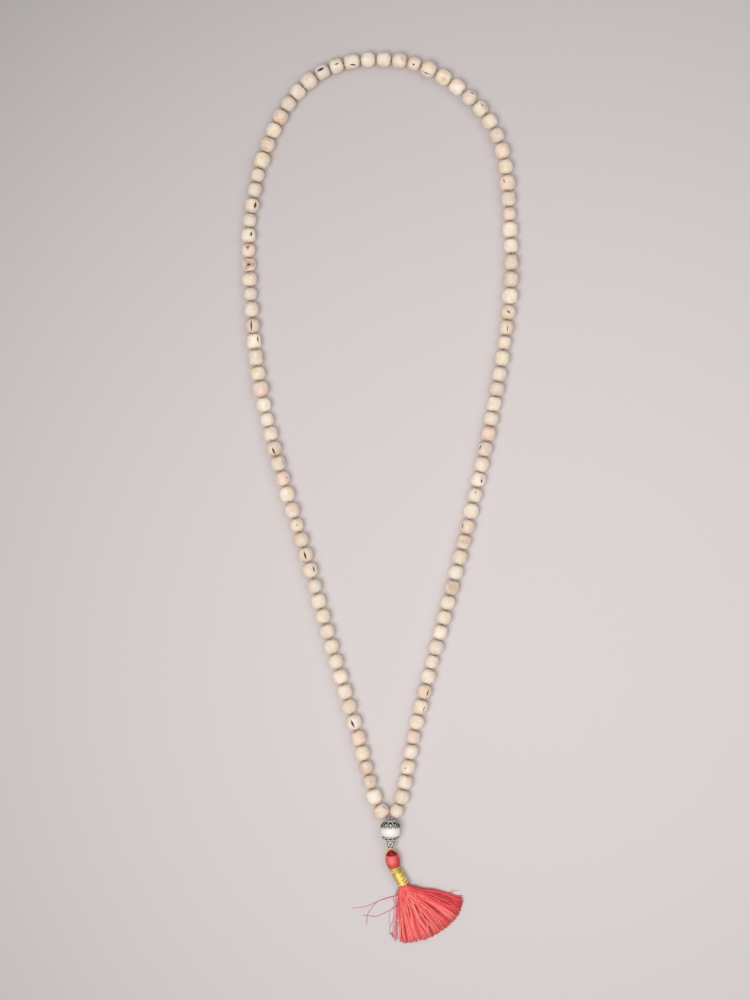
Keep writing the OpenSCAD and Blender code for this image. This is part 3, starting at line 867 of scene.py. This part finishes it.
def makeHead():
    satin = silkFinish("headSatin", tone(140, 20, 30), tone(214, 64, 70), tone(246, 116, 112), 0.3)
    luck = random.Random(21)
    work = bmesh.new()
    tintAndLightLayer = work.verts.layers.float.new("tintAndLight")
    warmLayer = work.verts.layers.float.new("warm")
    steps = headLook["along"]
    rim = [(0.02, 0, 0)]
    for k in range(1, steps + 1):
        s = headLength * (k / steps) ** 1.1
        rim.append((headWide(s / headLength), 0, s))
    # the lower end turns in over the edge of the wrap, down to the neck
    end, turnIn = headWide(1.0), headLook["turnIn"]
    for k in range(1, headLook["turnSteps"] + 1):
        a = math.pi / 2 * k / headLook["turnSteps"]
        rim.append((end - turnIn * (1 - math.cos(a)), 0, headLength + turnIn * math.sin(a)))
    rim.append((end - turnIn - 0.5, 0, headLength + turnIn + 0.3))
    turned(work, rim, headLook["around"], closed=False)
    bmesh.ops.holes_fill(work, edges=[e for e in work.edges if e.is_boundary], sides=0)
    strands = [(luck.uniform(0.3, 1), luck.uniform(0, 1)) for _ in range(headLook["strands"])]
    side = up.cross(headDir)
    turn = Matrix((up, side, headDir)).transposed()  # local X up from the table, Z down along the head
    for vert in work.verts:
        co = vert.co.copy()
        wide = co.xy.length
        angle = math.atan2(co.y, co.x)
        drift = 0.5 * math.sin(co.z * 0.45) + 0.3 * noise.noise(Vector((angle * 2, co.z * 0.4, 3)))
        lane = (angle / (2 * math.pi) + 0.5) * headLook["strands"] + drift
        high, tint = strands[int(lane) % headLook["strands"]]
        ridge = math.sin(math.pi * (lane % 1)) ** 0.7
        rise = headLook["ridge"] * (high * ridge * 2 - 1) * smooth(wide, 0.3, 1.6)
        down = co.z / headLength
        off = co.y / headWide(down)  # -1 at the left edge of the head and 1 at the right
        # painted light and shade: a painted highlight along each strand's ridge and left of the middle, over
        # each strand's own tint, and painted shade to the right, along the lower edges and towards the wrap
        shade = 0.46 + 0.3 * ridge + 0.25 * tint + 0.25 * smooth(abs(off + 0.2), 0.5, 0.0)
        shade -= 0.45 * smooth(off, 0.35, 0.9) + 0.4 * smooth(-off, 0.7, 0.95) * smooth(down, 0.4, 0.75)
        shade -= 0.3 * smooth(down, 0.7, 1.0)
        vert[tintAndLightLayer] = clamp(shade)
        vert[warmLayer] = smooth(down, 0.72, 1.0)
        co.xy *= 1 + rise / max(wide, 0.3)
        # the hollow where the strands fold over the cord, its inside darkened with painted shade
        lower = headLook["hollowEnd"] + headLook["hollowTilt"] * co.y - headLook["hollowSag"] * co.y * co.y
        edge = headWide(down) - abs(co.y)
        top, brim = headLook["hollowStart"], headLook["hollowRim"]
        hollow = (smooth(lower - co.z, -0.1, 0.3) * smooth(co.z, top - 0.25, top)
                  * smooth(edge, brim, brim + 0.5))
        if co.x > 0 and 0 < co.z < lower + 1.2:
            lip = headLook["lip"] * smooth(abs(co.z - lower - 0.35), 0.45, 0.0) * smooth(edge, 0.2, 1.2)
            co.x = max(co.x - headLook["hollowDeep"] * hollow, 0.1 - 0.2 * headR) + lip
            # painted shade inside the hollow
            inside = 0.16 * smooth(abs(off), 0.55, 0.1)
            vert[tintAndLightLayer] += (inside - vert[tintAndLightLayer]) * smooth(hollow, 0.1, 0.7)
        vert.co = headStart + turn @ co
        vert.co.z = max(vert.co.z, floor)
    finishPiece("tasselHead", work, satin, "head_satin", "tassel_head")


# Gold cord and gold wrap

cordLook = {
    "width": 0.72, "plies": 3, "depth": 0.16, "points": 9, "step": 0.25, "turn": 1.1, "clear": -0.14,
    "knot": 1.2, "apart": 0.41,  # the knot's size, and how far each strand is from the middle of the tip cap
    # how far round the head the legs go; each leg's thickness, the left one looser, and by which share
    "tuck": 45, "left": (1.3, 0.38), "right": (0.85, 0.24),
    "stops": (0.12, 0.18, 0.24, 0.3, 0.36, 0.44, 0.54, 0.64, 0.74, 0.84, 0.92),
}


def goldFinish(name, deep, body, bright, metal):
    # warm blends in orange-brown, on the wrap painted shade down its right side and a warmer tint at its
    # ends; olive blends in olive patches
    gold = Finish(name, {"Sheen Weight": 0.15, "Specular IOR Level": 0.6})
    tintAndLight = gold.attribute("tintAndLight")
    glint = gold.noise(gold.objectPlace(), 2600.0, 2, 0.5)
    spread = gold.noise(gold.objectPlace(), 420.0, 2, 0.5)
    tint = tintAndLight + 1.2 * spread - 0.6
    mixed = gold.blend(deep, body, gold.ramp(tint, 0.12, 0.42))
    mixed = gold.blend(mixed, bright, gold.ramp(tint + 0.35 * glint, 0.62, 1.0))
    mixed = gold.blend(mixed, tone(190, 120, 42), gold.attribute("warm"))
    gold.colour(gold.blend(mixed, tone(150, 140, 46), gold.attribute("olive")))
    gold.plug(gold.shader.inputs["Metallic"], metal + 0.15 * glint)
    gold.roughness(0.3 + 0.25 * spread)
    gold.bump(glint, 0.35, 0.05)
    return gold


def smoothRun(points, step):
    # a curve through points, cut at about one step
    run = []
    for i, (a, b) in enumerate(zip(points, points[1:])):
        pieces = max(1, round((b - a).length / step))
        run += [onCurve(points, i, k / pieces) for k in range(pieces)]
    return run + [points[-1]]


def makeCord():
    gold = goldFinish("goldCord", tone(186, 104, 30), tone(240, 166, 66), tone(255, 214, 130), 0.15)
    side = headDir.cross(up)
    knotR, apart = cordLook["knot"], cordLook["apart"]
    knot = Vector((guruCentre.x, corners("hanging_cord")[1].y - knotR, guruCentre.z))
    clear = cordLook["width"] / 2 + cordLook["clear"]

    def leg(way, thick, tucked):
        places = []
        for share in cordLook["stops"]:
            slope = (headWide(share + 0.04) - headWide(share - 0.04)) / (0.08 * headLength)
            off = headWide(share) + clear * math.hypot(1, slope)
            lift = math.asin(min(1, (guruCentre.z - headR) * (1 - share) ** 4 / off))
            rise = lift - math.radians(cordLook["tuck"]) * min(share / tucked, 1)
            place = headStart + share * headLength * headDir + off * (
                way * math.cos(rise) * side + math.sin(rise) * up)
            places.append(Vector((*place, 1 + (thick - 1) * smooth(share, 0.36, 0.12))))
        return places

    # up into the tip cap to the knot and down again
    mouth, crown = corners("tip_cap")[0].y + 0.1, knot.y - knotR + 0.1
    bow = [Vector((knot.x + x, y, knot.z, 1))
           for x, y in ((-apart, mouth), (-apart, crown), (apart, crown), (apart, mouth))]
    run = smoothRun(leg(1, *cordLook["left"])[::-1] + bow + leg(-1, *cordLook["right"]), cordLook["step"])
    work = sweep("cord", [run], cordLook["width"], outline=lobed(cordLook), twist=cordLook["turn"])
    paintRuns(work, "tintAndLight", [run], [0.6])
    # the knot, an overhand knot's three humps drawn tight
    hump = [knot + Vector((0.62 * (math.sin(t) + 1.1 * math.sin(2 * t)),
                           0.42 * (math.cos(t) - 1.1 * math.cos(2 * t)), -0.5 * math.sin(3 * t)))
            for t in fullTurn(60)]
    tied = sweep("knot", [hump], cordLook["width"], 1, loop=True)
    paintRuns(tied, "tintAndLight", [hump], [0.5])
    merge(work, tied)
    finishPiece("hangingCord", work, gold, "gold_cord", "hanging_cord")


wrapLook = {
    "turns": 28, "thread": 0.44, "points": 26, "wander": 0.02, "proud": 0.06,
    "lean": 0.5,  # how far a turn's left side runs ahead of the middle towards the head
    # turns that cross at the right
    "slants": 7, "slantFrom": 0.2, "slantStep": 0.1, "slantReach": 0.16, "slantThread": 0.5,
    "endTurns": 2,  # lighter turns at each end
    # the sleeve below: its sides in half threads under the outside, and how much shorter it is at an end
    "coreIn": 2.6, "coreOut": 1.5, "coreShort": 0.15, "coreAround": 32,
}


def makeWrap():
    gold = goldFinish("goldThread", tone(172, 132, 40), tone(236, 206, 92), tone(255, 242, 140), 0.1)
    luck = random.Random(12)
    side = wrapDir.cross(up)
    half = wrapLook["thread"] / 2

    def on(share, angle, radius):
        # angle 0 is at the left of the wrap and a quarter turn at its top
        along = half + share * (2 * wrapHalf - 2 * half) - wrapLook["lean"] * math.cos(angle)
        return wrapStart + along * wrapDir + radius * (math.cos(angle) * side + math.sin(angle) * up)

    turns = wrapLook["turns"]
    helix, shades, crossing, crossShades = [], [], [], []
    for i in range(turns):
        wander = luck.uniform(-1, 1) * wrapLook["wander"]
        proud = luck.uniform(0, wrapLook["proud"])
        run = []
        for k in range(wrapLook["points"] + 1):
            f = k / wrapLook["points"]
            share = (i + f) / turns + wander * math.sin(math.pi * f)
            run.append(on(clamp(share), 2 * math.pi * f - math.pi / 2, wrapR - half - proud))
        helix.append(run)
        shades.append(0.75 if min(i, turns - 1 - i) < wrapLook["endTurns"] else luck.uniform(0.42, 0.6))
    for i in range(wrapLook["slants"]):
        start = wrapLook["slantFrom"] + i * wrapLook["slantStep"] + luck.uniform(-0.02, 0.02)
        reach = wrapLook["slantReach"] * luck.uniform(0.8, 1.2)
        top = luck.uniform(100, 122)
        crossing.append([on(min(start + reach * k / 12, 1), math.radians(196 + (top - 196) * k / 12),
                            wrapR - half - 0.02 + 0.16 * math.sin(math.pi * k / 12)) for k in range(13)])
        crossShades.append(luck.uniform(0.5, 0.9))
    # the thread's end stands out at the lower right, painted extra bright as a painted highlight
    helix.append([on(0.93, math.radians(150), wrapR - half), on(0.97, math.radians(163), wrapR - 0.05),
                  on(1.0, math.radians(170), wrapR + 0.1) + 0.35 * wrapDir])
    shades.append(1.4)
    work = sweep("wrap", helix, wrapLook["thread"], 1)
    paintRuns(work, "tintAndLight", helix, shades)
    core = bmesh.new()
    core.verts.layers.float.new("tintAndLight")
    inner, outer = (wrapR - wrapLook[name] * half for name in ("coreIn", "coreOut"))
    end = wrapHalf - wrapLook["coreShort"]
    turned(core, [(inner, 0, -end), (outer, 0, -end), (outer, 0, end), (inner, 0, end)],
           wrapLook["coreAround"])
    core.transform(Matrix.Translation(wrapCentre) @ Matrix((up, side, wrapDir)).transposed().to_4x4())
    for vert in core.verts:
        vert.co -= wrapLook["lean"] * (vert.co - wrapCentre).dot(side) / wrapR * wrapDir
    merge(work, core)

    # a painted highlight streak along the top, painted shade towards both sides, painted shade in warm
    # orange-brown down the right side, warmer ends, and olive patches near the head and on the left
    tintAndLight = work.verts.layers.float["tintAndLight"]
    warm = work.verts.layers.float.new("warm")
    olive = work.verts.layers.float.new("olive")
    for vert in work.verts:
        off = vert.co - wrapStart
        across, along = -off.dot(side) / wrapR, off.dot(wrapDir) / (2 * wrapHalf)
        paintedStreak = smooth(abs(across + 0.05 + 0.2 * (along - 0.4)), 0.42, 0.0)
        vert[tintAndLight] += 0.4 * paintedStreak * (0.5 + smooth(along, 0.5, 0.9)) - 0.3 * smooth(abs(across), 0.45, 1.0)
        ends = smooth(min(along, 1 - along), 0.07, 0.02)
        vert[warm] = 0.95 * smooth(across, 0.3, 0.6) * smooth(along, 0.2, 0.35) + 0.35 * ends
        nearHead = smooth(math.hypot((across - 0.5) / 0.5, (along - 0.16) / 0.2), 1.0, 0.3)
        atLeft = smooth(math.hypot((across + 0.85) / 0.45, (along - 0.5) / 0.12), 1.0, 0.2)
        vert[olive] = 0.6 * nearHead + 0.7 * atLeft
        vert.co.z = max(vert.co.z, floor)
    over = sweep("crossing", crossing, wrapLook["slantThread"], 1)
    paintRuns(over, "tintAndLight", crossing, crossShades)
    merge(work, over)
    finishPiece("goldWrap", work, gold, "gold_thread", "gold_wrap")


# Fringe and its stray threads

fringeLook = {
    # layers of locks from the table up: locks, threads to a lock, start in the wrap and height of the
    # tips as shares, how much narrower the layer fans, its length as a share and its shade, painted shade
    # darkest on the lowest layers
    "layers": [(30, 7, -0.75, 0.0, 1.0, 1.0, 0.2), (26, 7, -0.25, 0.3, 0.99, 1.0, 0.34),
               (24, 8, 0.25, 0.62, 0.97, 0.985, 0.48), (22, 9, 0.75, 1.0, 0.94, 0.97, 0.58)],
    # tipLight: lighter towards the tips, partly the paler frayed ends and partly painted light
    "tipLight": 0.3,  # how much lighter the threads are at their tips
    "width": 0.42, "points": 14, "length": 30.4,
    "left": -32, "right": 48,  # spread to the left and right of the wrap's line, in degrees
    "outLeft": -66, "outRight": 12, "out": 0.15,  # how the outermost ones leave the wrap
    "bowLeft": -6, "bowRight": 13, "bow": 0.47,
    "reach": [1.0, 1.0, 1.01, 1.03, 1.07, 1.04],  # shares of the length, from left to right
    "tipHigh": 2.7, "cut": 0.018, "lockCut": 0.012, "drop": (0.15, 0.6),
    "lockStray": 0.03, "stray": 0.01, "crossers": 0.07, "cross": 0.1,  # sideways, as shares of the fan
    "lockWave": 0.36, "lockTurns": (8, 17), "wave": 0.12, "lockWide": 0.4, "lockHigh": 0.4, "twist": 2.2,
    "wisps": 11, "wispWidth": 0.18, "wispFrom": -1.06, "wispFan": 0.22,  # fine threads along the left edge
    "tips": (-1.3, 1.02), "strayWidth": 0.3,
}
# Threads that lie loose beside the fringe, in millimetres on the table
strayRoutes = [
    [(11.2, -201.6), (7.8, -203.2), (1.7, -205.0), (-1.7, -206.5), (-7.2, -208.8), (-14.5, -209.8)],
    [(11.4, -201.9), (7.9, -203.4), (1.9, -205.2), (-1.5, -206.6), (-5.1, -210.9), (-6.4, -213.3),
     (-6.7, -217.9)],
    [(11.6, -206.6), (7.7, -209.1), (5.8, -210.4), (1.7, -212.5), (-2.2, -213.9), (-5.9, -213.5),
     (-8.8, -213.3)],
    [(10.6, -206.8), (5.6, -210.6), (4.8, -215.8), (5.1, -221.0), (4.5, -223.4)],
    [(10.4, -211.6), (8.2, -213.5), (6.3, -216.9), (5.1, -221.0), (7.1, -225.2), (8.2, -225.7)],
    [(10.6, -212.6), (8.7, -215.1), (7.9, -218.4), (7.4, -223.4), (8.4, -225.3)],
    [(11.4, -200.8), (7.4, -203.6), (7.0, -205.7), (7.8, -207.9), (9.8, -209.6)],
    [(11.0, -214.0), (9.4, -218.0), (9.1, -222.0), (9.6, -225.6)],
    [(32.0, -202.2), (35.2, -201.7), (36.4, -201.0), (37.6, -199.7)],
    [(36.0, -202.2), (38.0, -200.9), (41.0, -200.4)],
    [(37.0, -203.3), (39.8, -203.2), (42.6, -203.0)],
    [(37.4, -203.9), (40.2, -203.6), (42.2, -203.4)],
    [(5.6, -222.6), (6.6, -223.8), (8.3, -225.2)],
    [(6.0, -222.0), (7.3, -223.9), (8.0, -224.6)],
]


def bend(a, b, c, d, t):
    # a Bezier curve
    return (1 - t) ** 3 * a + 3 * t * (1 - t) ** 2 * b + 3 * t * t * (1 - t) * c + t ** 3 * d


def fringeThread(u, lock, luck):
    # from inside the wrap out to the tip, u from -1 at the left to 1 at the right
    look = fringeLook
    width = look["width"]
    side = up.cross(wrapDir)
    lean = math.degrees(math.atan2(wrapDir.y, wrapDir.x))
    wander = luck.gauss(0, look["cross" if luck.random() < look["crossers"] else "stray"])
    tip = clamp(u + wander + lock["stray"], *look["tips"])
    fan = lean + look["left"] + (tip + 1) / 2 * (look["right"] - look["left"])
    out = lean + u * abs(u) * (look["outRight"] if u > 0 else -look["outLeft"])
    bow = fan + abs(u) * (look["bowRight"] if u > 0 else look["bowLeft"])
    shares = look["reach"]
    share = float(np.interp((u + 1) / 2 * (len(shares) - 1), range(len(shares)), shares)) * lock["long"]
    share -= lock["cut"] + abs(luck.gauss(0, look["cut"]))

    def way(angle):
        return Vector((math.cos(math.radians(angle)), math.sin(math.radians(angle)), 0))

    inner = wrapR - 0.65 - width
    a = wrapEnd + max(-1, u) * inner * side
    b = a + look["out"] * look["length"] * way(out)
    c = wrapEnd + look["bow"] * look["length"] * way(bow)
    d = wrapEnd + share * look["length"] * way(fan)
    startZ = wrapR + lock["start"] * inner * math.sqrt(max(1 - u * u, 0))
    endZ = width / 2 + lock["high"] * (look["tipHigh"] - width) * (1 - 0.3 * u * u)
    low, lower = look["drop"]
    turn, reach = luck.uniform(0, 2 * math.pi), math.sqrt(luck.random())
    phase, size = luck.uniform(0, 2 * math.pi), luck.gauss(0, look["wave"])
    run = [(*(a - 1.6 * wrapDir + (startZ - a.z) * up), 1.0)]
    last = look["points"] - 1
    for k in range(look["points"]):
        t = k / last
        twist = turn + lock["twist"] * t
        aside = (look["lockWide"] * reach * math.cos(twist) * (0.45 + 0.55 * t)
                 + lock["wave"] * math.sin(lock["turns"] * t + lock["phase"]) * smooth(t, 0, 0.4)
                 + size * math.sin(11 * t + phase) * t)
        place = bend(a, b, c, d, t) + aside * smooth(t, 0, 0.25) * way(fan + 90)
        z = bend(startZ, startZ + low * (endZ - startZ), startZ + lower * (endZ - startZ), endZ, t)
        z += look["lockHigh"] * reach * math.sin(twist) * smooth(t, 0, 0.3)
        place.z = max(width / 2 + floor, z)
        run.append((*place, 0.6 if k == last else 1.0))
    return run


def makeFringe():
    silk = silkFinish("fringeSilk", tone(150, 18, 30), tone(241, 80, 83), tone(255, 140, 132), 0.3)
    luck = random.Random(7)
    runs, shades = [], []
    for locks, threads, start, high, spread, long, shade in fringeLook["layers"]:
        for i in range(locks):
            u = spread * (2 * (i + luck.uniform(0.2, 0.8)) / locks - 1)
            lock = {
                "start": start, "high": clamp(high + luck.gauss(0, 0.1), 0, 1.1),
                "stray": luck.gauss(0, fringeLook["lockStray"]),
                "cut": abs(luck.gauss(0, fringeLook["lockCut"])),
                "wave": luck.gauss(0, fringeLook["lockWave"]),
                "turns": luck.uniform(*fringeLook["lockTurns"]), "phase": luck.uniform(0, 6.3),
                "twist": luck.gauss(0, fringeLook["twist"]), "long": long,
            }
            # painted shade: the layer's shade darkens the lower layers, and the threads darken towards the
            # upper right
            tint = luck.uniform(-0.12, 0.12) + shade - 0.45 * smooth(u, 0.35, 0.8)
            for _ in range(threads):
                at = clamp(u + luck.uniform(-0.5, 0.5) / locks, -1)
                runs.append(fringeThread(at, lock, luck))
                shades.append(clamp(tint + luck.uniform(-0.25, 0.3), 0, 1.1))
    work = sweep("fringe", runs, fringeLook["width"], 1)
    paintRuns(work, "tintAndLight", runs, shades, fringeLook["tipLight"])
    finishPiece("fringeThreads", work, silk, "fringe_silk", "fringe")

    strays = []
    for route in strayRoutes:
        lying = [Vector((x, y, 0.2 if i else 1.0)) for i, (x, y) in enumerate(route)]
        strays.append([(*place, 1.0) for place in smoothRun(lying, 0.8)])
    thin = fringeLook["wispWidth"] / fringeLook["strayWidth"]
    for i in range(fringeLook["wisps"]):
        flat = {
            "start": -0.5, "high": 0, "stray": luck.gauss(0, 0.02), "cut": luck.uniform(0, 0.1),
            "wave": luck.gauss(0, 0.3), "turns": luck.uniform(4, 8), "phase": luck.uniform(0, 6.3),
            "twist": 0, "long": 1.0,
        }
        u = fringeLook["wispFrom"] - fringeLook["wispFan"] * i / fringeLook["wisps"]
        strays.append([(x, y, min(z, 0.25 + 2 * smooth(k, 5, 0)), thin)
                       for k, (x, y, z, _) in enumerate(fringeThread(u, flat, luck))])
    loose = sweep("strays", strays, fringeLook["strayWidth"], 1)
    shades = [luck.uniform(0.1, 0.6) for _ in strayRoutes]
    shades += [luck.uniform(0.5, 0.8) for _ in range(fringeLook["wisps"])]
    paintRuns(loose, "tintAndLight", strays, shades, 0.5)
    pink = silkFinish("straySilk", tone(168, 66, 86), tone(208, 102, 116), tone(244, 178, 182), 0.3)
    finishPiece("strayThreads", loose, pink, "fringe_silk")


makeBeads()
makeThread()
makeGuru()
silver = silverFinish()
petalCap("capTop", "cap_top", "top", silver)
petalCap("capBottom", "cap_bottom", "bottom", silver)
makeTipCap(silver)
makeHead()
makeCord()
makeWrap()
makeFringe()


# Table, light and camera

stageLook = {
    "size": 6.0, "lens": 85, "sensor": 36, "viewLength": 0.5102, "focusHeight": 0.004,
    "lookAt": (-0.00245, -0.00079),
    # the next line sets a painted pool of light on the table: where it is brightest and how fast it dims
    "bright": (0.1125, -0.0776), "paintedFalloff": (1.42, 1.41),  # where the table is lightest, how fast it dims
}


def makeStage():
    paper = Finish("tablePaper", {"Specular IOR Level": 0.2, "Roughness": 0.9})
    x, y = stageLook["bright"]
    dimX, dimY = stageLook["paintedFalloff"]
    away = paper.stretch(paper.objectPlace(), (dimX, dimY, 0), (-x * dimX, -y * dimY, 0))
    paintedFalloff = paper.node("VectorMath", {"operation": "LENGTH"}, {0: away}, 1)
    # painted light: the paper darkens away from its brightest point
    paper.colour(paper.shade(tone(219, 212, 212), 1 - paper.sum("MINIMUM", paintedFalloff * paintedFalloff, 0.45)))
    work = bmesh.new()
    bmesh.ops.create_grid(work, x_segments=1, y_segments=1, size=stageLook["size"] / 2)
    mesh = bpy.data.meshes.new("table")
    work.to_mesh(mesh)
    work.free()
    mesh.materials.append(paper.material)
    newObject("table", mesh)


def softBox(name, place, size, power, colour):
    lamp = bpy.data.lights.new(name, "AREA")
    lamp.shape = "RECTANGLE"
    lamp.size, lamp.size_y = size
    lamp.energy = power
    lamp.color = colour
    box = newObject(name, lamp)
    box.location = place
    box.rotation_euler = (-Vector(place)).to_track_quat("-Z", "Y").to_euler()


def makeLight():
    softBox("keyBox", (-0.55, -0.42, 1.9), (1.1, 1.1), 22.6, (1.0, 0.995, 0.98))
    softBox("fillBox", (0.7, 0.45, 1.8), (1.8, 1.8), 11.3, (1.0, 0.995, 1.0))
    world = bpy.data.worlds.new("room")
    world.use_nodes = True
    inputs = world.node_tree.nodes["Background"].inputs
    inputs["Color"].default_value = (0.95, 0.94, 0.95, 1)
    inputs["Strength"].default_value = 0.358
    bpy.context.scene.world = world
    bpy.context.scene.view_settings.view_transform = "Standard"


def makeCamera():
    camera = bpy.data.cameras.new("camera")
    camera.lens = stageLook["lens"]
    camera.sensor_width = stageLook["sensor"]
    camera.clip_start, camera.clip_end = 0.01, 20
    away = stageLook["viewLength"] * stageLook["lens"] / stageLook["sensor"]
    holder = newObject("camera", camera)
    holder.location = (*stageLook["lookAt"], stageLook["focusHeight"] + away)
    bpy.context.scene.camera = holder


makeStage()
makeLight()
makeCamera()
print("stage: table, two lamps and the camera")
